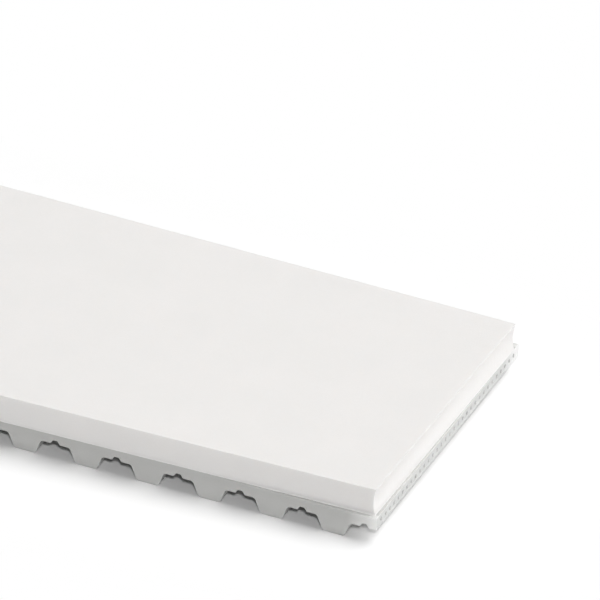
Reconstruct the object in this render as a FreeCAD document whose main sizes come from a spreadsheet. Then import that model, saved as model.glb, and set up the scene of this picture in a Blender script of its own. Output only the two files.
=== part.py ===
import FreeCAD, Part
import math
import os

import Sketcher

# A cut length of coated timing belt, lying on its teeth.
# X runs along the belt, Y across it and Z up. The origin is under the middle, on the plane of the tips.

SIZES = {
    # toothed belt: trapezoidal teeth of the 10 mm metric pitch, cut to a sample length
    "pitch": 10.0,
    "sample_length": 123.8,
    "belt_width": 50.0,
    "tooth_height": 2.5,
    "tooth_root_width": 5.3,
    "flank_angle": 40.0,
    "root_radius": 0.6,
    "tip_radius": 0.6,
    "land_thickness": 2.0,
    # groove that the winding nose leaves across the middle of each gullet
    "groove_mouth_width": 1.5,
    "groove_floor_width": 0.7,
    "groove_skin": 0.05,
    # tension cords, spread evenly over the width on the pitch line
    "cord_count": 32,
    "cord_diameter": 0.66,
    "cord_height": 1.0,
    "cord_edge_margin": 1.75,
    "cord_clearance": 0.01,
    # cover bonded to the belt's back, trimmed a little smaller than the belt
    "bond_thickness": 0.25,
    "coating_thickness": 4.4,
    "coating_end_setback": 0.2,
    "coating_side_setback": 0.5,
}

# Heights above the tooth tips
ROOT = "Sizes.tooth_height"
BACK = "(Sizes.tooth_height + Sizes.land_thickness)"
COATING_UNDERSIDE = f"({BACK} + Sizes.bond_thickness)"
CORD_AXIS = "(Sizes.tooth_height + Sizes.cord_height)"
CHANNEL_RADIUS = "(Sizes.cord_diameter / 2 + Sizes.cord_clearance)"
GROOVE_FLOOR = f"({CORD_AXIS} - {CHANNEL_RADIUS} - Sizes.groove_skin)"

# Places along and across the belt
HALF_PITCH = "(Sizes.pitch / 2)"
HALF_LENGTH = "(Sizes.sample_length / 2)"
COVER_LENGTH = "(Sizes.sample_length - 2 * Sizes.coating_end_setback)"
COVER_WIDTH = "(Sizes.belt_width - 2 * Sizes.coating_side_setback)"
LINK_COUNT = "(2 * ceil(Sizes.sample_length / 2 / Sizes.pitch))"
FIRST_LINK = f"((1 - {LINK_COUNT}) / 2 * Sizes.pitch)"
CORD_SPREAD = "(Sizes.belt_width - 2 * Sizes.cord_edge_margin)"
CORD_SPACING = f"({CORD_SPREAD} / (Sizes.cord_count - 1))"
FIRST_CORD = f"(-{CORD_SPREAD} / 2)"

# Sketch references: an edge's ends and centre, the sketch's origin and its horizontal axis
START = 1
END = 2
CENTRE = 3
ORIGIN = (-1, START)
HORIZONTAL_AXIS = -1

doc = FreeCAD.newDocument("coated_timing_belt")
sheet = doc.addObject("Spreadsheet::Sheet", "Sizes")


def write_sheet():
    for row, (alias, value) in enumerate(SIZES.items(), start=1):
        sheet.set(f"A{row}", alias)
        sheet.set(f"B{row}", str(value))
        sheet.setAlias(f"B{row}", alias)
    doc.recompute()


def value_of(expression):
    """What an expression on the sheet comes to, in millimetres or degrees."""
    result = sheet.evalExpression(expression)
    return float(getattr(result, "Value", result))


def point_at(x, y):
    return FreeCAD.Vector(value_of(x), value_of(y), 0)


def new_body(label):
    body = doc.addObject("PartDesign::Body", label)
    body.Label = label
    return body


def new_sketch(body, plane_role, name):
    """An empty sketch on one of the body's own origin planes."""
    plane = next(feature for feature in body.Origin.OriginFeatures if feature.Role == plane_role)
    sketch = body.newObject("Sketcher::SketchObject", name)
    sketch.AttachmentSupport = [(plane, "")]
    sketch.MapMode = "FlatFace"
    return sketch


def dimension(sketch, kind, where, expression):
    """A dimension of the sketch that follows the sheet."""
    value = value_of(expression)
    if kind == "Angle":
        value = math.radians(value)
    index = sketch.addConstraint(Sketcher.Constraint(kind, *where, value))
    name = f"{kind.lower()}_{index}"
    sketch.renameConstraint(index, name)
    sketch.setExpression(f"Constraints.{name}", expression)


def place_point(sketch, edge, end, x, y):
    """Holds one end of an edge at a place measured from the sketch's origin."""
    dimension(sketch, "DistanceX", (*ORIGIN, edge, end), x)
    dimension(sketch, "DistanceY", (*ORIGIN, edge, end), y)


def add_line(sketch, start, end):
    return sketch.addGeometry(Part.LineSegment(start, end))


def add_arc(sketch, centre, radius, first_degrees, last_degrees):
    circle = Part.Circle(centre, FreeCAD.Vector(0, 0, 1), radius)
    arc = Part.ArcOfCircle(circle, math.radians(first_degrees), math.radians(last_degrees))
    return sketch.addGeometry(arc)


def join(sketch, kind, first, second):
    """Joins two edge ends, each an (edge, end) pair; kind is Coincident or Tangent."""
    sketch.addConstraint(Sketcher.Constraint(kind, *first, *second))


def add_rectangle(sketch, left, bottom, right, top):
    corners = [point_at(left, bottom), point_at(right, bottom), point_at(right, top), point_at(left, top)]
    edges = [add_line(sketch, corners[i], corners[(i + 1) % 4]) for i in range(4)]
    for i in range(4):
        join(sketch, "Coincident", (edges[i], END), (edges[(i + 1) % 4], START))
        direction = "Vertical" if i % 2 else "Horizontal"
        sketch.addConstraint(Sketcher.Constraint(direction, edges[i]))
    place_point(sketch, edges[0], START, left, bottom)
    place_point(sketch, edges[2], START, right, top)


def add_symmetric_pad(body, sketch, name, length):
    pad = body.newObject("PartDesign::Pad", name)
    pad.Profile = sketch
    pad.SideType = "Symmetric"
    pad.setExpression("Length", length)
    return pad


def add_through_pocket(body, sketch, name):
    pocket = body.newObject("PartDesign::Pocket", name)
    pocket.Profile = sketch
    pocket.SideType = "Symmetric"
    pocket.Type = "ThroughAll"
    return pocket


def add_row(body, original, sketch, name, spacing, count):
    """Repeats a feature along its sketch's horizontal axis."""
    row = body.newObject("PartDesign::LinearPattern", name)
    row.Originals = [original]
    row.Direction = (sketch, ["H_Axis"])
    row.Mode = "Spacing"
    row.setExpression("Offset", spacing)
    row.setExpression("Occurrences", count)
    body.Tip = row
    return row


def draw_half_link(sketch, side):
    """One side of a link, from the middle of a gullet down to the tooth tip; side is 1 for +X or -1 for -X.

    Returns the upright edge in the middle of the gullet, and the tip's arc with its end on the tip's flat.
    """
    root_x = value_of("Sizes.tooth_root_width") / 2
    root_y = value_of(ROOT)
    root_radius = value_of("Sizes.root_radius")
    tip_radius = value_of("Sizes.tip_radius")
    lean_degrees = value_of("Sizes.flank_angle") / 2
    lean = math.radians(lean_degrees)
    tip_x = root_x - root_y * math.tan(lean)
    # An arc of radius 1 between a flat and a flank leaves each of them this far from their corner
    corner_reach = math.tan(math.radians(45) - lean / 2)
    root_reach = root_radius * corner_reach
    tip_reach = tip_radius * corner_reach

    def at(x, y):
        return FreeCAD.Vector(side * x, y, 0)

    def up_the_flank(x, y, distance):
        return at(x + distance * math.sin(lean), y + distance * math.cos(lean))

    edge_x = f"({side} * {HALF_PITCH})"
    floor_x = f"({side} * ({HALF_PITCH} - Sizes.groove_floor_width / 2))"
    mouth_x = f"({side} * ({HALF_PITCH} - Sizes.groove_mouth_width / 2))"
    upright = add_line(sketch, point_at(edge_x, BACK), point_at(edge_x, GROOVE_FLOOR))
    floor = add_line(sketch, point_at(edge_x, GROOVE_FLOOR), point_at(floor_x, GROOVE_FLOOR))
    groove_wall = add_line(sketch, point_at(floor_x, GROOVE_FLOOR), point_at(mouth_x, ROOT))
    root = add_line(sketch, point_at(mouth_x, ROOT), at(root_x + root_reach, root_y))
    flank = add_line(sketch, up_the_flank(tip_x, 0, tip_reach), up_the_flank(root_x, root_y, -root_reach))

    # Arcs run anticlockwise, so a mirrored one starts at its other end
    root_span = (90, 180 - lean_degrees) if side > 0 else (lean_degrees, 90)
    tip_span = (-90, -lean_degrees) if side > 0 else (180 + lean_degrees, 270)
    flat_end, flank_end = (START, END) if side > 0 else (END, START)
    root_arc = add_arc(sketch, at(root_x + root_reach, root_y - root_radius), root_radius, *root_span)
    tip_arc = add_arc(sketch, at(tip_x - tip_reach, tip_radius), tip_radius, *tip_span)

    join(sketch, "Coincident", (upright, END), (floor, START))
    join(sketch, "Coincident", (floor, END), (groove_wall, START))
    join(sketch, "Coincident", (groove_wall, END), (root, START))
    join(sketch, "Tangent", (root, END), (root_arc, flat_end))
    join(sketch, "Tangent", (root_arc, flank_end), (flank, END))
    join(sketch, "Tangent", (flank, START), (tip_arc, flank_end))

    sketch.addConstraint(Sketcher.Constraint("Vertical", upright))
    sketch.addConstraint(Sketcher.Constraint("Horizontal", floor))
    sketch.addConstraint(Sketcher.Constraint("Horizontal", root))
    place_point(sketch, upright, START, edge_x, BACK)
    place_point(sketch, groove_wall, START, floor_x, GROOVE_FLOOR)
    place_point(sketch, groove_wall, END, mouth_x, ROOT)
    dimension(sketch, "Radius", (root_arc,), "Sizes.root_radius")
    dimension(sketch, "Radius", (tip_arc,), "Sizes.tip_radius")
    dimension(sketch, "Angle", (flank,), f"(90 - {side} * Sizes.flank_angle / 2) * 1 deg")

    # The tooth's width is measured where its flanks would meet the root line without the root radius
    corner = sketch.addGeometry(Part.Point(at(root_x, root_y)), True)
    sketch.addConstraint(Sketcher.Constraint("PointOnObject", corner, START, flank))
    sketch.addConstraint(Sketcher.Constraint("PointOnObject", corner, START, root))
    dimension(sketch, "DistanceX", (*ORIGIN, corner, START), f"({side} * Sizes.tooth_root_width / 2)")
    return upright, (tip_arc, flat_end)


def draw_link(sketch):
    """The side profile of one pitch of the belt: a tooth, the land over it and half a gullet on each side."""
    right_upright, right_tip = draw_half_link(sketch, 1)
    left_upright, left_tip = draw_half_link(sketch, -1)
    back = add_line(sketch, point_at(f"(-{HALF_PITCH})", BACK), point_at(HALF_PITCH, BACK))
    join(sketch, "Coincident", (back, START), (left_upright, START))
    join(sketch, "Coincident", (back, END), (right_upright, START))
    tip = add_line(sketch, sketch.getPoint(*left_tip), sketch.getPoint(*right_tip))
    join(sketch, "Tangent", (tip, START), left_tip)
    join(sketch, "Tangent", (tip, END), right_tip)
    sketch.addConstraint(Sketcher.Constraint("Horizontal", tip))
    sketch.addConstraint(Sketcher.Constraint("PointOnObject", tip, START, HORIZONTAL_AXIS))


def make_belt_body():
    """The moulded belt: a row of links, cut to length, with a channel for each cord."""
    body = new_body("belt_body")

    profile = new_sketch(body, "XZ_Plane", "link_profile")
    draw_link(profile)
    profile.setExpression("AttachmentOffset.Base.x", FIRST_LINK)
    link = add_symmetric_pad(body, profile, "link", "Sizes.belt_width")
    doc.recompute()
    add_row(body, link, profile, "link_row", "Sizes.pitch", LINK_COUNT)
    doc.recompute()

    cuts = new_sketch(body, "XZ_Plane", "end_cuts")
    row_end = f"({LINK_COUNT} * {HALF_PITCH} + Sizes.pitch)"
    above = f"({BACK} + Sizes.land_thickness)"
    below = "(-Sizes.tooth_height)"
    add_rectangle(cuts, HALF_LENGTH, below, row_end, above)
    add_rectangle(cuts, f"(-{row_end})", below, f"(-{HALF_LENGTH})", above)
    add_through_pocket(body, cuts, "cut_to_length")
    doc.recompute()

    section = new_sketch(body, "YZ_Plane", "channel_section")
    centre = point_at(FIRST_CORD, CORD_AXIS)
    circle = section.addGeometry(Part.Circle(centre, FreeCAD.Vector(0, 0, 1), value_of(CHANNEL_RADIUS)))
    dimension(section, "Radius", (circle,), CHANNEL_RADIUS)
    place_point(section, circle, CENTRE, FIRST_CORD, CORD_AXIS)
    channel = add_through_pocket(body, section, "cord_channel")
    doc.recompute()
    add_row(body, channel, section, "cord_channels", CORD_SPACING, "Sizes.cord_count")
    return body


def make_layer(label, thickness, underside):
    """A flat layer of the cover, lying on the belt's back."""
    body = new_body(label)
    plan = new_sketch(body, "XY_Plane", f"{label}_plan")
    half_length = f"({COVER_LENGTH} / 2)"
    half_width = f"({COVER_WIDTH} / 2)"
    add_rectangle(plan, f"(-{half_length})", f"(-{half_width})", half_length, half_width)
    plan.setExpression("AttachmentOffset.Base.z", underside)
    pad = body.newObject("PartDesign::Pad", f"{label}_layer")
    pad.Profile = plan
    pad.setExpression("Length", thickness)
    return body


def make_cord(number):
    """One straight tension cord, as long as the belt."""
    cord = doc.addObject("Part::Cylinder", f"tension_cord_{number:02d}")
    cord.Label = f"tension_cord_{number:02d}"
    cord.Placement = FreeCAD.Placement(FreeCAD.Vector(), FreeCAD.Rotation(FreeCAD.Vector(0, 1, 0), 90))
    cord.setExpression("Radius", "Sizes.cord_diameter / 2")
    cord.setExpression("Height", "Sizes.sample_length")
    cord.setExpression("Placement.Base.x", f"-{HALF_LENGTH}")
    cord.setExpression("Placement.Base.y", f"{FIRST_CORD} + {number - 1} * {CORD_SPACING}")
    cord.setExpression("Placement.Base.z", CORD_AXIS)
    return cord


def check_document(pieces):
    doc.recompute()
    failed = [item.Label for item in doc.Objects if "Invalid" in item.State or "Error" in item.State]
    if failed:
        raise RuntimeError(f"these objects failed: {failed}")
    for piece in pieces:
        if piece.Shape.isNull() or not piece.Shape.isValid():
            raise RuntimeError(f"{piece.Label} has no valid shape")
        if len(piece.Shape.Solids) != 1:
            raise RuntimeError(f"{piece.Label} has {len(piece.Shape.Solids)} solids, not one")


write_sheet()
pieces = [
    make_belt_body(),
    make_layer("bond_film", "Sizes.bond_thickness", BACK),
    make_layer("coating", "Sizes.coating_thickness", COATING_UNDERSIDE),
]
pieces += [make_cord(number) for number in range(1, SIZES["cord_count"] + 1)]
check_document(pieces)

os.makedirs("parts", exist_ok=True)
for piece in pieces:
    piece.Shape.exportStep(f"parts/{piece.Label}.step")
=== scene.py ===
import math
import random

import bpy
import numpy as np
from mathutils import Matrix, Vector, noise
from mathutils.geometry import delaunay_2d_cdt


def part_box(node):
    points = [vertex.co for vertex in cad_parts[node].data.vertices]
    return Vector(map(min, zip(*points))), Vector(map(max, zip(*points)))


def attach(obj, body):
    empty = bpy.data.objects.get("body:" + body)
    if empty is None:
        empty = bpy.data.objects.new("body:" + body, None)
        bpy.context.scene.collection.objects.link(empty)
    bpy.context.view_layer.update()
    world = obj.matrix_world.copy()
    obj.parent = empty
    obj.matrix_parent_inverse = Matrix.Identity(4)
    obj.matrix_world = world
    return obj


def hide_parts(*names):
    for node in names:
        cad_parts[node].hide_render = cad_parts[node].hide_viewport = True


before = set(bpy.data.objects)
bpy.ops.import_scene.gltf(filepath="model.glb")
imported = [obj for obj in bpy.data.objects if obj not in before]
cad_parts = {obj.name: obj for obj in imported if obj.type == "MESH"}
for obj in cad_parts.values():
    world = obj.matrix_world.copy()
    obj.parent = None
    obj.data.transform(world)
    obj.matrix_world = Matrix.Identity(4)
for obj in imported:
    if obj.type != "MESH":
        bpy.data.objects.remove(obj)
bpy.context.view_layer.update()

# The looks of a cut length of coated timing belt, lying on its teeth.
# Shapes are worked out in millimetres in the part's frame: X along the belt, Y across it, Z up.

MM = 0.001
FULL_TURN = 2 * math.pi
ROOT_BODY = "root"

COAT_LOW, COAT_HIGH = (np.array(corner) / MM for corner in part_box("coating"))
FILM_LOW, FILM_HIGH = (np.array(corner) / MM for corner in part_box("bond_film"))
BELT_HIGH = np.array(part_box("belt_body")[1]) / MM
CORD_NODES = sorted(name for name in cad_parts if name.startswith("tension_cord"))

# Edges that turn by more than this many degrees are shaded as sharp
PIECE_SHARP = 35
CORD_SHARP = 50

# How far the noise of one seed lies from that of the next
SEED_SHIFT = (17.3, -9.1, 5.7)


def bumpy(seed, *place):
    """Smooth noise from about -1 to 1 at a place, different for each seed."""
    padded = (*place, 0.0, 0.0)[:3]
    return noise.noise(Vector([at + seed * shift for at, shift in zip(padded, SEED_SHIFT)]))


def make_mesh(name, points, faces, material, sharp_degrees):
    """A smooth mesh from points in millimetres, with its sharp edges marked."""
    mesh = bpy.data.meshes.new(name)
    mesh.from_pydata((np.array(points) * MM).tolist(), [], faces)
    mesh.validate()
    mesh.shade_smooth()
    mesh.set_sharp_from_angle(angle=math.radians(sharp_degrees))
    mesh.materials.append(material)
    return mesh


def add_object(name, data):
    """A new object in the scene."""
    thing = bpy.data.objects.new(name, data)
    bpy.context.scene.collection.objects.link(thing)
    return thing


def add_piece(name, mesh, node):
    """A piece of the part, in the place of a CAD node."""
    piece = add_object(name, mesh)
    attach(piece, ROOT_BODY)
    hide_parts(node)
    return piece


def grid_lines(low, high, edge, edge_steps, step):
    """Places from low to high: small equal steps within edge of each end, and about step apart
    between them."""
    count = max(1, round((high - low - 2 * edge) / step))
    return np.concatenate([
        np.linspace(low, low + edge, edge_steps, endpoint=False),
        np.linspace(low + edge, high - edge, count, endpoint=False),
        np.linspace(high - edge, high, edge_steps + 1),
    ])


def box_grid(*places):
    """The closed skin of a box as points and faces, cut into a grid at the places given for X, Y
    and Z."""
    last = [len(place) - 1 for place in places]
    index, points, faces = {}, [], []

    def corner(where):
        if where not in index:
            index[where] = len(points)
            points.append([place[n] for place, n in zip(places, where)])
        return index[where]

    for axis in range(3):
        u, v = (axis + 1) % 3, (axis + 2) % 3
        for end in (0, last[axis]):
            for i in range(last[u]):
                for j in range(last[v]):
                    quad = []
                    for du, dv in ((0, 0), (1, 0), (1, 1), (0, 1)):
                        where = [end, end, end]
                        where[u], where[v] = i + du, j + dv
                        quad.append(corner(tuple(where)))
                    faces.append(quad if end else quad[::-1])
    return np.array(points), faces


def round_edges(points, low, high, radius):
    """Points on the skin of a box, moved onto the same box with rounded edges."""
    middle, half = (low + high) / 2, (high - low) / 2
    local = points - middle
    core = np.clip(local, radius - half, half - radius)
    outward = local - core
    outward *= radius / np.maximum(np.linalg.norm(outward, axis=1, keepdims=True), radius)
    return middle + core + outward


def near_end(distance, reach):
    """1 at an edge, falling smoothly to 0 at a distance of reach from it."""
    share = np.clip(1 - distance / reach, 0, 1)
    return share * share


# Cover: the coating and the film under it

# How far the cover's trimmed sides, front (-1) and back (1), stand in from the belt's sides, at
# places along the belt
SIDE_TRIM = {
    -1: ((-61.5, -0.1), (-25.0, -0.5), (2.0, -0.66), (61.5, 0.7)),
    1: ((-61.5, 0.16), (61.5, 1.55)),
}
# How far the feet of its ends stand in from the belt's ends, at places across the belt
END_TRIM = {
    -1: ((-25.0, 0.1), (25.0, 0.3)),
    1: ((-25.0, 0.57), (25.0, 0.03)),
}
COAT_EDGE_RADIUS = 0.015
COAT_EDGE_STEPS = 4
COAT_STEPS = (0.25, 2.5, 0.4)

# Cut ends: the depth of their hollow, how far out their upper edge leans, and how far into the
# cover both reach
COAT_DISH = 0.3
COAT_LEAN = 0.24
COAT_DISH_REACH = 4.0

# Unevenness of the cut ends and of the top: its height, its waves per millimetre and its seed
CUT_WAVER, CUT_WAVES, CUT_SEED = 0.04, (0.11, 0.4), 2
TOP_WAVER, TOP_WAVES, TOP_SEED = 0.02, (0.06, 0.08), 9

# Bead of adhesive at the cover's foot: its width where the belt doesn't stand out, what each
# millimetre of the belt's ledge adds, and its unevenness as seeds with their waves per millimetre
FILM_STEP = 0.3
BEAD_WIDTH = 0.03
BEAD_PER_LEDGE = 0.15
LEDGE_MOST = 0.7
BEAD_WAVER = 0.03
BEAD_WAVES = ((31, 0.5), (34, 2.1))
END_BEAD_MOST = 0.06


def trim_at(place, trim):
    """How far a trimmed edge stands in at a place along it."""
    return np.interp(place, *zip(*trim))


def trimmed(x, y):
    """Where a place on the untrimmed cover goes when the cover is trimmed slightly askew."""
    sides = [side * (BELT_HIGH[1] - trim_at(x, SIDE_TRIM[side])) for side in (-1, 1)]
    ends = [end * (BELT_HIGH[0] - trim_at(y, END_TRIM[end])) for end in (-1, 1)]
    new_x = np.interp(x, (COAT_LOW[0], COAT_HIGH[0]), ends)
    new_y = np.interp(y, (COAT_LOW[1], COAT_HIGH[1]), sides)
    return new_x, new_y


def coating_skin():
    """The cover; its ends are hollow and lean out at the top, as a knife leaves soft rubber."""
    lines = [
        grid_lines(low, high, COAT_EDGE_RADIUS, COAT_EDGE_STEPS, step)
        for low, high, step in zip(COAT_LOW, COAT_HIGH, COAT_STEPS)
    ]
    points, faces = box_grid(*lines)
    flat_base = COAT_LOW - np.array([0, 0, COAT_EDGE_RADIUS])
    points = round_edges(points, flat_base, COAT_HIGH, COAT_EDGE_RADIUS)
    middle, half = (COAT_LOW + COAT_HIGH) / 2, (COAT_HIGH - COAT_LOW) / 2
    for point in points:
        x, y, z = point
        up = (z - middle[2]) / half[2]
        end = 1 if x > 0 else -1
        point[:2] = trimmed(x, y)
        cut = COAT_DISH * (1 - up * up) - COAT_LEAN * (1 + up) / 2
        cut -= CUT_WAVER * bumpy(CUT_SEED + end, CUT_WAVES[0] * y, CUT_WAVES[1] * z)
        point[0] -= end * cut * near_end(half[0] - abs(x), COAT_DISH_REACH)
        if up > 0:
            waver = bumpy(TOP_SEED, TOP_WAVES[0] * x, TOP_WAVES[1] * y)
            point[2] += up * (TOP_WAVER * waver - TOP_WAVER)
    return points, faces


def bead_at(x, y, ledge):
    """How far the adhesive is squeezed out at a place on the cover's foot."""
    width = BEAD_WIDTH + BEAD_PER_LEDGE * ledge
    for seed, waves in BEAD_WAVES:
        width += BEAD_WAVER * bumpy(seed, waves * x, waves * y)
    return max(0.0, width)


def film_skin():
    """The adhesive layer, squeezed out in a thin uneven bead along the foot of the coating."""
    xs, ys = (
        np.linspace(low, high, round((high - low) / FILM_STEP) + 1)
        for low, high in zip(FILM_LOW[:2], FILM_HIGH[:2])
    )
    ring = [(x, ys[0]) for x in xs[:-1]] + [(xs[-1], y) for y in ys[:-1]]
    ring += [(x, ys[-1]) for x in xs[:0:-1]] + [(xs[0], y) for y in ys[:0:-1]]
    count = len(ring)
    foot, head = [], []
    for x, y in ring:
        new_x, new_y = trimmed(x, y)
        ledge = min(LEDGE_MOST, max(0.0, BELT_HIGH[1] - abs(new_y)))
        bead = bead_at(x, y, ledge)
        out_x = min(END_BEAD_MOST, bead) * np.sign(x) if abs(x) == xs[-1] else 0.0
        out_y = bead * np.sign(y) if abs(y) == ys[-1] else 0.0
        foot.append((new_x + out_x, new_y + out_y, FILM_LOW[2]))
        head.append((new_x, new_y, FILM_HIGH[2]))
    faces = [(n, (n + 1) % count, count + (n + 1) % count, count + n) for n in range(count)]
    faces.append(tuple(range(count))[::-1])
    faces.append(tuple(range(count, 2 * count)))
    return foot + head, faces


# Belt

# Toothed side: links of a tooth and its gullet, of which the ends are cut off
PITCH = 10.0
LINKS = 14
TOOTH_HEIGHT = 2.5
TOOTH_ROOT_WIDTH = 5.3
FLANK_LEAN = math.radians(20)
ROOT_RADIUS = 0.6
TIP_RADIUS = 0.6
GROOVE_MOUTH = 1.5
GROOVE_FLOOR = 0.7
GROOVE_TOP = 3.11
ARC_STEPS = 8

# Body, with the channels that the cords lie in
BELT_EDGE = 0.02
BELT_ROWS = 11
CHANNEL_RADIUS = 0.34
CHANNEL_SIDES = 20

# What delaunay_2d_cdt is asked for: triangles inside the loops, and how near points are the same
TRIANGLES_INSIDE = 1
SAME_POINT = 1e-6


def arc(centre, radius, start, stop):
    """Points (x, z) along an arc."""
    return [
        (centre[0] + radius * math.cos(angle), centre[1] + radius * math.sin(angle))
        for angle in np.linspace(start, stop, ARC_STEPS + 1)
    ]


def half_link():
    """The underside from the middle of a tooth to the middle of a gullet, as (x, z) points."""
    reach = math.tan(math.radians(45) - FLANK_LEAN / 2)
    root_x = TOOTH_ROOT_WIDTH / 2
    tip_x = root_x - TOOTH_HEIGHT * math.tan(FLANK_LEAN)
    tip_centre = (tip_x - TIP_RADIUS * reach, TIP_RADIUS)
    root_centre = (root_x + ROOT_RADIUS * reach, TOOTH_HEIGHT - ROOT_RADIUS)
    return [
        (0.0, 0.0),
        *arc(tip_centre, TIP_RADIUS, -math.pi / 2, -FLANK_LEAN),
        *arc(root_centre, ROOT_RADIUS, math.pi - FLANK_LEAN, math.pi / 2),
        (PITCH / 2 - GROOVE_MOUTH / 2, TOOTH_HEIGHT),
        (PITCH / 2 - GROOVE_FLOOR / 2, GROOVE_TOP),
        (PITCH / 2, GROOVE_TOP),
    ]


def underside():
    """The whole underside between the cut ends, as (x, z) points in order along the belt."""
    half = half_link()
    link = [(-x, z) for x, z in half[:0:-1]] + half
    centres = (np.arange(LINKS) - (LINKS - 1) / 2) * PITCH
    outline = [(centre + x, z) for centre in centres for x, z in link[:-1]]
    outline.append((centres[-1] + link[-1][0], link[-1][1]))
    xs, zs = np.array(outline).T
    half_length = BELT_HIGH[0]
    inner = half_length - BELT_EDGE
    kept = [x for x in xs if abs(x) < inner - BELT_EDGE]
    stations = np.array(sorted([-half_length, -inner, *kept, inner, half_length]))
    return np.column_stack([stations, np.interp(stations, xs, zs)])


def inset_outline(outline, depth):
    """The outline moved into the belt by depth, square to itself."""
    along = np.diff(outline, axis=0)
    along /= np.linalg.norm(along, axis=1, keepdims=True)
    normal = np.column_stack([along[:, 1], -along[:, 0]])
    before = np.vstack([normal[:1], normal])
    after = np.vstack([normal, normal[-1:]])
    share = 1 + np.sum(before * after, axis=1, keepdims=True)
    return outline - depth * (before + after) / share


def end_face(points, rim, holes):
    """Triangles between the loops of points round an end and round its holes, facing +X."""
    numbers, owner, edges = [], [], []
    for which, loop in enumerate([rim, *holes]):
        start = len(numbers)
        numbers += loop
        owner += [which] * len(loop)
        edges += [(start + n, start + (n + 1) % len(loop)) for n in range(len(loop))]
    flat = [Vector(points[number][1:]) for number in numbers]
    places, _, triangles, sources, _, _ = delaunay_2d_cdt(
        flat, edges, [], TRIANGLES_INSIDE, SAME_POINT
    )
    faces = []
    for triangle in triangles:
        origin = [sources[n][0] for n in triangle]
        owners = {owner[n] for n in origin}
        in_one_hole = len(owners) == 1 and 0 not in owners
        if not in_one_hole:
            a, b, c = (places[n] for n in triangle)
            turn = (b - a).cross(c - a)
            corners = [numbers[n] for n in origin]
            faces.append(corners if turn > 0 else corners[::-1])
    return faces


def belt_skin():
    """The moulded belt with its channels, as one closed skin."""
    outline = underside()
    inset = inset_outline(outline, BELT_EDGE)
    half_length, half_width, back = BELT_HIGH
    ys = grid_lines(-half_width, half_width, BELT_EDGE, 1, 2 * half_width / BELT_ROWS)
    last_i, last_j = len(outline) - 1, len(ys) - 1
    points, faces = [], []
    low, high = {}, {}
    for i in range(last_i + 1):
        for j, y in enumerate(ys):
            at_side, at_end = j in (0, last_j), i in (0, last_i)
            x, z = inset[i] if at_side else outline[i]
            if at_end:
                x, z = outline[i][0], outline[i][1] + BELT_EDGE
            low[i, j] = len(points)
            points.append((x, y, z))
            high[i, j] = len(points)
            points.append((outline[i][0], y, back - BELT_EDGE if at_side or at_end else back))
    for i in range(last_i):
        for j in range(last_j):
            faces.append((low[i, j], low[i, j + 1], low[i + 1, j + 1], low[i + 1, j]))
            faces.append((high[i, j], high[i + 1, j], high[i + 1, j + 1], high[i, j + 1]))
        faces.append((low[i, 0], low[i + 1, 0], high[i + 1, 0], high[i, 0]))
        faces.append((high[i, last_j], high[i + 1, last_j], low[i + 1, last_j], low[i, last_j]))

    turns = np.linspace(0, FULL_TURN, CHANNEL_SIDES, endpoint=False)
    circle = [(CHANNEL_RADIUS * math.cos(t), CHANNEL_RADIUS * math.sin(t)) for t in turns]
    rings = {}
    for end, i in ((-1, 0), (1, last_i)):
        holes = []
        for node in CORD_NODES:
            centre = sum(np.array(corner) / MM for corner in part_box(node)) / 2
            holes.append(range(len(points), len(points) + CHANNEL_SIDES))
            points += [(end * half_length, centre[1] + y, centre[2] + z) for y, z in circle]
        rim = [low[i, j] for j in range(last_j + 1)]
        rim += [high[i, j] for j in range(last_j, -1, -1)]
        cap = end_face(points, rim, holes)
        faces += cap if end > 0 else [face[::-1] for face in cap]
        rings[end] = holes
    for near, far in zip(rings[-1], rings[1]):
        for n in range(CHANNEL_SIDES):
            m = (n + 1) % CHANNEL_SIDES
            faces.append((near[n], far[n], far[m], near[m]))
    return points, faces


# Cords

CORD_RADIUS = 0.33
CORD_LAY = 10.0
CORD_SPACING = 1.5
OUTER_STRANDS = 6
STRAND_RADIUS = CORD_RADIUS / 3
STRAND_SIDES = 6
STRAND_STEP = CORD_LAY / 6
STRAND_SHORT_MOST = 0.09
STRAND_SEED = 40
CORD_SEED = 7


def cord_skin(hand):
    """Six strands laid left- or right-handed round a core strand, in the cord's own frame along
    X; each is cut a little short of the cord's ends."""
    chance = random.Random(STRAND_SEED + hand)
    half_length = BELT_HIGH[0]
    count = round(2 * half_length / STRAND_STEP)
    points, faces = [], []
    around = np.linspace(0, FULL_TURN, STRAND_SIDES, endpoint=False)
    for strand in range(OUTER_STRANDS + 1):
        offset = 2 * STRAND_RADIUS if strand < OUTER_STRANDS else 0.0
        start = len(points)
        stations = np.linspace(-half_length, half_length, count + 1)
        stations[0] += chance.uniform(0.0, STRAND_SHORT_MOST)
        stations[-1] -= chance.uniform(0.0, STRAND_SHORT_MOST)
        for x in stations:
            turn = FULL_TURN / OUTER_STRANDS * strand + hand * FULL_TURN * x / CORD_LAY
            y, z = offset * math.cos(turn), offset * math.sin(turn)
            for angle in around + turn:
                across, up = STRAND_RADIUS * math.cos(angle), STRAND_RADIUS * math.sin(angle)
                points.append((x, y + across, z + up))
        for i in range(len(stations) - 1):
            for j in range(STRAND_SIDES):
                a = start + i * STRAND_SIDES + j
                b = start + i * STRAND_SIDES + (j + 1) % STRAND_SIDES
                faces.append((a, b, b + STRAND_SIDES, a + STRAND_SIDES))
        faces.append(tuple(range(start, start + STRAND_SIDES))[::-1])
        faces.append(tuple(range(len(points) - STRAND_SIDES, len(points))))
    return points, faces


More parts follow.
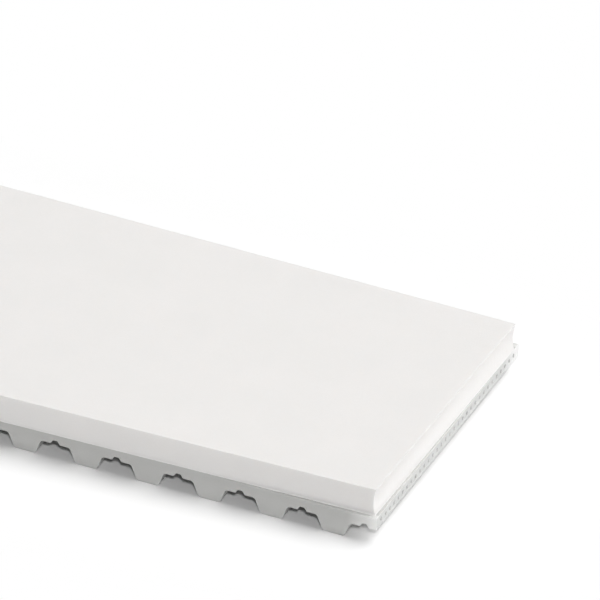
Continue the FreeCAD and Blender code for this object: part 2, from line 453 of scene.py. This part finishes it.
def lay_cords(material):
    """One stranded cord in each channel; left- and right-handed cords lie side by side, as they
    are wound."""
    chance = random.Random(CORD_SEED)
    meshes = [
        make_mesh(name, *cord_skin(hand), material, CORD_SHARP)
        for name, hand in (("cord_left_lay", -1), ("cord_right_lay", 1))
    ]
    for number, node in enumerate(CORD_NODES):
        name = f"stranded_cord_{number + 1:02d}"
        piece = add_piece(name, meshes[number % 2], node)
        low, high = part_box(node)
        piece.location = (low + high) / 2
        piece.rotation_euler = (chance.uniform(0, FULL_TURN), 0, 0)


# Materials

class Graph:
    """A node tree, cleared and built anew; what a socket is fed is a value or another socket."""

    def __init__(self, tree):
        self.tree = tree
        tree.nodes.clear()

    def add(self, kind, **settings):
        node = self.tree.nodes.new(kind)
        for name, value in settings.items():
            setattr(node, name, value)
        return node

    def feed(self, socket, value):
        if isinstance(value, bpy.types.NodeSocket):
            self.tree.links.new(value, socket)
        else:
            socket.default_value = value

    def split(self, vector, letter):
        """One coordinate of a vector."""
        node = self.add("ShaderNodeSeparateXYZ")
        self.feed(node.inputs["Vector"], vector)
        return node.outputs[letter]

    def math(self, operation, a, b=0.0, c=0.0):
        node = self.add("ShaderNodeMath", operation=operation)
        for socket, value in zip(node.inputs, (a, b, c)):
            self.feed(socket, value)
        return node.outputs["Value"]

    def spread(self, value, low, high, to_low=0.0, to_high=1.0):
        """Maps low..high to to_low..to_high, held at the ends."""
        node = self.add("ShaderNodeMapRange", clamp=True)
        names = ("Value", "From Min", "From Max", "To Min", "To Max")
        for name, number in zip(names, (value, low, high, to_low, to_high)):
            self.feed(node.inputs[name], number)
        return node.outputs["Result"]

    def blend(self, share, first, second):
        """A colour that goes from first, where share is 0, to second, where it is 1."""
        node = self.add("ShaderNodeMix", data_type="RGBA")
        self.feed(node.inputs["Factor"], share)
        for socket, value in zip([s for s in node.inputs if s.type == "RGBA"], (first, second)):
            self.feed(socket, value)
        return next(s for s in node.outputs if s.type == "RGBA")

    def seen_directly(self):
        """1 for a ray from the camera or one that shows this in a mirror or through glass, and 0
        for a ray that only carries light."""
        path = self.add("ShaderNodeLightPath")
        seen = path.outputs["Is Camera Ray"]
        for name in ("Is Glossy Ray", "Is Transmission Ray"):
            seen = self.math("MAXIMUM", seen, path.outputs[name])
        return seen


class Look(Graph):
    """A material round one Principled shader; sizes are in millimetres."""

    def __init__(self, name):
        self.material = bpy.data.materials.new(name)
        self.material.use_nodes = True
        super().__init__(self.material.node_tree)
        self.shader = self.add("ShaderNodeBsdfPrincipled")
        output = self.add("ShaderNodeOutputMaterial")
        self.feed(output.inputs["Surface"], self.shader.outputs["BSDF"])
        scaled = self.add("ShaderNodeVectorMath", operation="SCALE")
        self.feed(scaled.inputs["Vector"], self.add("ShaderNodeTexCoord").outputs["Object"])
        self.feed(scaled.inputs["Scale"], 1 / MM)
        self.place = scaled.outputs["Vector"]

    def set(self, name, value):
        self.feed(self.shader.inputs[name], value)

    def let_light_in(self, weight, radius, depth):
        """Some of the light goes into the surface and comes out nearby."""
        self.set("Subsurface Weight", weight)
        self.set("Subsurface Radius", radius)
        self.set("Subsurface Scale", depth * MM)

    def axis(self, letter):
        return self.split(self.place, letter)

    def from_middle(self, letter):
        return self.math("ABSOLUTE", self.axis(letter))

    def towards(self, letter):
        """How squarely the surface faces along an axis, from -1 to 1."""
        return self.split(self.add("ShaderNodeNewGeometry").outputs["True Normal"], letter)

    def facing(self, letter):
        """How squarely the surface faces along an axis, either way, from 0 to 1."""
        return self.math("ABSOLUTE", self.towards(letter))

    def noise(self, size, detail=2.0, roughness=0.5, shift=0.0):
        """Noise from 0 to 1; size is one feature size, or one for each axis."""
        sizes = size if isinstance(size, tuple) else (size, size, size)
        scaled = self.add("ShaderNodeVectorMath", operation="MULTIPLY_ADD")
        values = (self.place, tuple(1 / s for s in sizes), (shift, 2 * shift, -shift))
        for socket, value in zip(scaled.inputs, values):
            self.feed(socket, value)
        node = self.add("ShaderNodeTexNoise", noise_dimensions="3D")
        self.feed(node.inputs["Vector"], scaled.outputs["Vector"])
        for name, number in (("Scale", 1.0), ("Detail", detail), ("Roughness", roughness)):
            self.feed(node.inputs[name], number)
        return node.outputs["Fac"]

    def bump(self, height, depth, normal=None):
        """A bump as deep as depth where height goes from 0 to 1."""
        node = self.add("ShaderNodeBump")
        self.feed(node.inputs["Strength"], 1.0)
        self.feed(node.inputs["Distance"], depth * MM)
        self.feed(node.inputs["Height"], height)
        if normal is not None:
            self.feed(node.inputs["Normal"], normal)
        return node.outputs["Normal"]


# Shared ranges, of a noise's values and of how squarely a surface faces along an axis; a range of
# four numbers, here and below, ends with the two that it is mapped to
NOISE_CORE = (0.35, 0.65)
NOISE_MOST = (0.3, 0.7)
FACING = (0.6, 0.9)
FACING_DOWN = (-0.9, -0.6, 1.0, 0.0)

# Detail and roughness of noise that is finer than the plain one
FINE = 3.0
GRITTY = 0.6

# White rubber of the cover
RUBBER_PALE = (0.888, 0.868, 0.852, 1)
RUBBER_DULL = (0.872, 0.856, 0.840, 1)
RUBBER_PITS = (0.80, 0.79, 0.775, 1)
RUBBER_PITTED = (0.3, 0.75, 0.0, 0.25)
RUBBER_CLOUD_SIZE = 9.0
RUBBER_GLOSS_SIZE, RUBBER_ROUGHNESS = 1.4, (0.52, 0.7)
RUBBER_SPECULAR = 0.35
RUBBER_LIGHT = (0.35, (1.0, 0.95, 0.9), 0.9)
RUBBER_GRAIN_SIZE, RUBBER_GRAIN_DEPTH = 0.22, 0.02
GRINDING_SIZE, GRINDING_DEPTH = (6.0, 0.18, 0.5), 0.008
DRAG_SIZE, DRAG_DEPTH = (0.5, 0.35, 3.0), 0.03


def coating_look():
    """Ground white rubber: a fine matt grain, faint cloudiness and drag marks on the knife-cut
    ends."""
    look = Look("white_rubber")
    clouds = look.spread(look.noise(RUBBER_CLOUD_SIZE, FINE), *NOISE_CORE)
    grain = look.noise(RUBBER_GRAIN_SIZE, FINE, GRITTY)
    base = look.blend(clouds, RUBBER_PALE, RUBBER_DULL)
    base = look.blend(look.spread(grain, *RUBBER_PITTED), base, RUBBER_PITS)
    look.set("Base Color", base)
    gloss = look.noise(RUBBER_GLOSS_SIZE, FINE)
    look.set("Roughness", look.spread(gloss, *NOISE_MOST, *RUBBER_ROUGHNESS))
    look.set("Specular IOR Level", RUBBER_SPECULAR)
    look.let_light_in(*RUBBER_LIGHT)
    cut = look.spread(look.facing("X"), *FACING)
    drag = look.math("MULTIPLY", look.noise(DRAG_SIZE), cut)
    normal = look.bump(grain, RUBBER_GRAIN_DEPTH)
    normal = look.bump(look.noise(GRINDING_SIZE), GRINDING_DEPTH, normal)
    normal = look.bump(drag, DRAG_DEPTH, normal)
    look.set("Normal", normal)
    return look.material


# Grey polyurethane of the belt: its slit sides, with painted light that makes them paler towards
# the tooth tips
BELT_PALE = (0.556, 0.556, 0.542, 1)
BELT_DULL = (0.536, 0.536, 0.522, 1)
BELT_CLOUD_SIZE, BELT_CLOUD_SHIFT = 5.0, 3.0
TIP_PAINTED_LIGHT, TIP_LIGHT_HEIGHTS = (0.63, 0.63, 0.616, 1), (0.0, 3.6)

# Its moulded faces, darker partly in their own tone and partly as painted shade, and the paler
# stretch of both near a cut, which is painted light
MOULDED_TONE_AND_SHADE = (0.42, 0.42, 0.41, 1)
NEAR_CUT_PAINTED_GLOW, NEAR_CUT_GLOW_PLACES = (0.88, 0.88, 0.865, 1), (57.2, 61.4)

# Its ground back, darkened as painted shade where it faces up, with pale corners near a cut that
# are painted light
BACK_SHADE_DULL = (0.46, 0.46, 0.45, 1)
BACK_SHADE_PALE = (0.54, 0.54, 0.53, 1)
BACK_GRAIN_SIZE = 0.6
CORNER_PAINTED_GLOW, CORNER_GLOW_PLACES = (0.70, 0.70, 0.685, 1), (23.9, 24.3)

# The roofs of its gullets, darkened as painted shade except near a cut, and darkest in stripes
# where the cords show through
ROOF_PAINTED_SHADE = (0.38, 0.38, 0.37, 1)
ROOF_SHADE_AT_CORDS = (0.22, 0.22, 0.215, 1)
ROOF_SHADE_HEIGHTS = (1.8, 2.3)
ROOF_SHADE_PLACES = (57.5, 59.5, 1.0, 0.0)

# Its cut ends, with painted light that makes them paler at the far corner
CUT_FACING = (0.9, 0.98)
CUT_DULL = (0.60, 0.605, 0.59, 1)
CUT_PALE = (0.66, 0.665, 0.65, 1)
CUT_GRAIN_SIZE = 0.7
CUT_FAR_PAINTED_LIGHT, CUT_FAR_LIGHT_PLACES = (0.86, 0.86, 0.85, 1), (20.0, 23.0)

# Its surface
BELT_GLOSS_SIZE, BELT_GLOSS_SHIFT, BELT_ROUGHNESS = 0.8, 5.0, (0.4, 0.6)
BELT_SPECULAR = 0.4
BELT_LIGHT = (0.35, (1.0, 1.0, 0.95), 1.0)
BELT_GRAIN_SIZE, BELT_GRAIN_DEPTH = 0.12, 0.008
SLIT_SIZE, SLIT_DEPTH = (7.0, 1.0, 0.12), 0.02


def belt_look():
    """Light grey moulded polyurethane, slightly translucent, with slitting lines on its sides and
    cords showing through the roofs of its gullets. Painted light makes its sides paler towards
    the tooth tips and near the cuts, and its cut ends paler at the far corner; painted shade
    darkens, in part, its moulded faces, and its back where it faces up and the roofs of its
    gullets."""
    look = Look("grey_polyurethane")
    along, across = look.from_middle("X"), look.from_middle("Y")
    height = look.axis("Z")
    near_cut_glow = look.spread(along, *NEAR_CUT_GLOW_PLACES)
    side = look.spread(look.facing("Y"), *FACING)

    clouds = look.noise(BELT_CLOUD_SIZE, FINE, shift=BELT_CLOUD_SHIFT)
    base = look.blend(look.spread(clouds, *NOISE_CORE), BELT_PALE, BELT_DULL)
    # Painted light: the slit sides grow paler towards the tooth tips, against the shade near the
    # floor
    base = look.blend(look.spread(height, *TIP_LIGHT_HEIGHTS), TIP_PAINTED_LIGHT, base)
    # Moulded faces: partly their own duller tone, partly painted shade that darkens the gullets
    base = look.blend(side, MOULDED_TONE_AND_SHADE, base)
    # Painted light: the belt grows paler near a cut, where light comes through from the lit end
    base = look.blend(near_cut_glow, base, NEAR_CUT_PAINTED_GLOW)

    # Painted shade: the back, where it faces up, is darker than the sides
    back = look.blend(look.noise(BACK_GRAIN_SIZE, FINE), BACK_SHADE_DULL, BACK_SHADE_PALE)
    # Painted light: pale corners of the back near a cut
    corner = look.math("MULTIPLY", near_cut_glow, look.spread(across, *CORNER_GLOW_PLACES))
    back = look.blend(corner, back, CORNER_PAINTED_GLOW)
    base = look.blend(look.spread(look.towards("Z"), *FACING), base, back)

    # Painted shade: the roofs of the gullets are darkened except near a cut, darkest over the
    # cords
    roof_shade = look.spread(look.towards("Z"), *FACING_DOWN)
    roof_shade = look.math("MULTIPLY", roof_shade, look.spread(height, *ROOF_SHADE_HEIGHTS))
    roof_shade = look.math("MULTIPLY", roof_shade, look.spread(along, *ROOF_SHADE_PLACES))
    turns = look.math("MULTIPLY_ADD", look.axis("Y"), FULL_TURN / CORD_SPACING, math.pi)
    stripes = look.spread(look.math("COSINE", turns), -1.0, 1.0)
    base = look.blend(roof_shade, base, look.blend(stripes, ROOF_PAINTED_SHADE, ROOF_SHADE_AT_CORDS))

    sawn = look.blend(look.noise(CUT_GRAIN_SIZE, FINE), CUT_DULL, CUT_PALE)
    # Painted light: the cut ends grow paler towards the far corner
    sawn = look.blend(look.spread(look.axis("Y"), *CUT_FAR_LIGHT_PLACES), sawn, CUT_FAR_PAINTED_LIGHT)
    base = look.blend(look.spread(look.facing("X"), *CUT_FACING), base, sawn)
    look.set("Base Color", base)

    gloss = look.noise(BELT_GLOSS_SIZE, FINE, shift=BELT_GLOSS_SHIFT)
    look.set("Roughness", look.spread(gloss, *NOISE_MOST, *BELT_ROUGHNESS))
    look.set("Specular IOR Level", BELT_SPECULAR)
    look.let_light_in(*BELT_LIGHT)
    normal = look.bump(look.noise(BELT_GRAIN_SIZE, FINE, GRITTY), BELT_GRAIN_DEPTH)
    normal = look.bump(look.math("MULTIPLY", look.noise(SLIT_SIZE), side), SLIT_DEPTH, normal)
    look.set("Normal", normal)
    return look.material


# Pale adhesive of the film
FILM_DULL = (0.85, 0.84, 0.825, 1)
FILM_PALE = (0.89, 0.88, 0.865, 1)
FILM_CLOUD_SIZE = 0.5
FILM_GLOSS_SIZE, FILM_ROUGHNESS = 0.3, (0.35, 0.6)
FILM_GRAIN_SIZE, FILM_GRAIN_DEPTH = 0.15, 0.03


def film_look():
    """Pale adhesive with a lumpy surface."""
    look = Look("bond_adhesive")
    clouds = look.spread(look.noise(FILM_CLOUD_SIZE), *NOISE_CORE)
    look.set("Base Color", look.blend(clouds, FILM_DULL, FILM_PALE))
    gloss = look.noise(FILM_GLOSS_SIZE)
    look.set("Roughness", look.spread(gloss, *NOISE_MOST, *FILM_ROUGHNESS))
    look.set("Normal", look.bump(look.noise(FILM_GRAIN_SIZE), FILM_GRAIN_DEPTH))
    return look.material


# Steel of the cords
STEEL_DULL = (0.46, 0.46, 0.45, 1)
STEEL_BRIGHT = (0.68, 0.68, 0.67, 1)
WIRE_SIZE, WIRE_DEPTH = 0.09, 0.02
STEEL_GLOSS_SIZE, STEEL_ROUGHNESS = 0.2, (0.35, 0.6)


def steel_look():
    """Steel wire, brighter and duller by turns."""
    look = Look("cord_steel")
    wires = look.noise(WIRE_SIZE)
    base = look.blend(look.spread(wires, *NOISE_CORE), STEEL_DULL, STEEL_BRIGHT)
    look.set("Base Color", base)
    look.set("Metallic", 1.0)
    gloss = look.noise(STEEL_GLOSS_SIZE)
    look.set("Roughness", look.spread(gloss, *NOISE_MOST, *STEEL_ROUGHNESS))
    look.set("Normal", look.bump(wires, WIRE_DEPTH))
    return look.material


# Stage

# Floor, in metres: its colour as it lights the part, and as it is seen directly
FLOOR_REACH = 2.0
FLOOR_DROP = 0.02 * MM
FLOOR_LIT = (0.86, 0.86, 0.86, 1)
FLOOR_SEEN = (1.02, 1.02, 1.02, 1)
# Distances from the part's middle between which the floor, seen directly, fades to plain white;
# lengths along the part count less, so that the fade keeps clear of its ends
FLOOR_FADE = (0.034, 0.05)
FLOOR_STRETCH = (0.4, 1.0, 1.0)

# The sky's level by the sine of the height above the horizon, and its colour seen directly
SKY_LEVELS = ((0.0, 0.6), (0.32, 0.08), (0.8, 0.16))
SKY_SEEN = (1, 1, 1, 1)

# Each lamp's azimuth, elevation, size in metres and power
LAMPS = {
    "key": (124, 60, 2.8, 106.0),
    "side": (92, 36, 1.2, 31.0),
    "front": (28, 41, 0.25, 48.0),
}
LAMP_DISTANCE = 4.0

# Camera, in millimetres, apart from its clipping, which is in metres
CAMERA_AZIMUTH, CAMERA_ELEVATION, CAMERA_DISTANCE = 25.136, 34.02, 2000.0
CAMERA_LENS, CAMERA_SENSOR = 825.4, 36.0
CAMERA_CLIP = (0.1, 10.0)
# How far right of a place on the belt, and above it, the middle of the view lies
AIM_PLACE = (60, -25, 2.5)
AIM_RIGHT, AIM_UP = -9.355, 33.054


def make_floor():
    """A pale floor that keeps the part's shadow and is plain white further off."""
    mesh = bpy.data.meshes.new("floor")
    corners = [
        (x * FLOOR_REACH, y * FLOOR_REACH, -FLOOR_DROP)
        for x, y in ((-1, -1), (1, -1), (1, 1), (-1, 1))
    ]
    mesh.from_pydata(corners, [], [(0, 1, 2, 3)])
    floor = add_object("floor", mesh)
    material = bpy.data.materials.new("studio_floor")
    material.use_nodes = True
    graph = Graph(material.node_tree)
    seen = graph.seen_directly()
    matt = graph.add("ShaderNodeBsdfDiffuse")
    graph.feed(matt.inputs["Color"], graph.blend(seen, FLOOR_LIT, FLOOR_SEEN))
    place = graph.add("ShaderNodeVectorMath", operation="MULTIPLY")
    graph.feed(place.inputs[0], graph.add("ShaderNodeTexCoord").outputs["Object"])
    graph.feed(place.inputs[1], FLOOR_STRETCH)
    distance = graph.add("ShaderNodeVectorMath", operation="LENGTH")
    graph.feed(distance.inputs[0], place.outputs["Vector"])
    far = graph.spread(distance.outputs["Value"], *FLOOR_FADE, 0.0, seen)
    white = graph.add("ShaderNodeEmission")
    fade = graph.add("ShaderNodeMixShader")
    values = (far, matt.outputs["BSDF"], white.outputs["Emission"])
    for socket, value in zip(fade.inputs, values):
        graph.feed(socket, value)
    output = graph.add("ShaderNodeOutputMaterial")
    graph.feed(output.inputs["Surface"], fade.outputs["Shader"])
    mesh.materials.append(material)


def make_world():
    """A soft sky: pale walls near the horizon and a dimmer ceiling; seen directly it is white."""
    world = bpy.data.worlds.new("studio")
    bpy.context.scene.world = world
    world.use_nodes = True
    graph = Graph(world.node_tree)
    height = graph.split(graph.add("ShaderNodeTexCoord").outputs["Generated"], "Z")
    sky = graph.add("ShaderNodeValToRGB")
    graph.feed(sky.inputs["Fac"], height)
    stops = sky.color_ramp.elements
    while len(stops) < len(SKY_LEVELS):
        stops.new(1.0)
    for stop, (place, level) in zip(stops, SKY_LEVELS):
        stop.position = place
        stop.color = (level, level, level, 1)
    tone = graph.blend(graph.seen_directly(), sky.outputs["Color"], SKY_SEEN)
    background = graph.add("ShaderNodeBackground")
    graph.feed(background.inputs["Color"], tone)
    output = graph.add("ShaderNodeOutputWorld")
    graph.feed(output.inputs["Surface"], background.outputs["Background"])


def direction(azimuth, elevation):
    """The way out from the part; azimuth 0 is in front of it and 90 at its +X end."""
    a, e = math.radians(azimuth), math.radians(elevation)
    return Vector((math.sin(a) * math.cos(e), -math.cos(a) * math.cos(e), math.sin(e)))


def look_along(thing, way):
    """Turns a lamp or camera to look along a direction."""
    thing.rotation_mode = "QUATERNION"
    thing.rotation_quaternion = way.to_track_quat("-Z", "Y")


def add_lamp(name, azimuth, elevation, size, power):
    """A soft square lamp that looks at the part."""
    lamp = bpy.data.lights.new(name, "AREA")
    lamp.shape = "SQUARE"
    lamp.size = size
    lamp.energy = power
    holder = add_object(name, lamp)
    back = direction(azimuth, elevation)
    holder.location = back * LAMP_DISTANCE
    holder.visible_camera = False
    look_along(holder, -back)


def place_camera():
    """The camera at the photograph's viewing angle."""
    azimuth = math.radians(CAMERA_AZIMUTH)
    right = Vector((math.cos(azimuth), math.sin(azimuth), 0))
    back = direction(CAMERA_AZIMUTH, CAMERA_ELEVATION)
    up = back.cross(right)
    aim = Vector(AIM_PLACE) + AIM_RIGHT * right + AIM_UP * up
    data = bpy.data.cameras.new("camera")
    data.type = "PERSP"
    data.sensor_width = CAMERA_SENSOR
    data.lens = CAMERA_LENS
    data.clip_start, data.clip_end = CAMERA_CLIP
    camera = add_object("camera", data)
    camera.location = (aim + CAMERA_DISTANCE * back) * MM
    look_along(camera, -back)
    bpy.context.scene.camera = camera


bpy.context.scene.view_settings.view_transform = "Standard"
for name, skin, look, slot, node in (
    ("coating_sheet", coating_skin, coating_look, "coating", "coating"),
    ("bond_line", film_skin, film_look, "bond_film", "bond_film"),
    ("belt_moulding", belt_skin, belt_look, "belt_polyurethane", "belt_body"),
):
    add_piece(name, make_mesh(name, *skin(), look(), PIECE_SHARP), node)
lay_cords(steel_look())
make_floor()
make_world()
for name, settings in LAMPS.items():
    add_lamp(name, *settings)
place_camera()
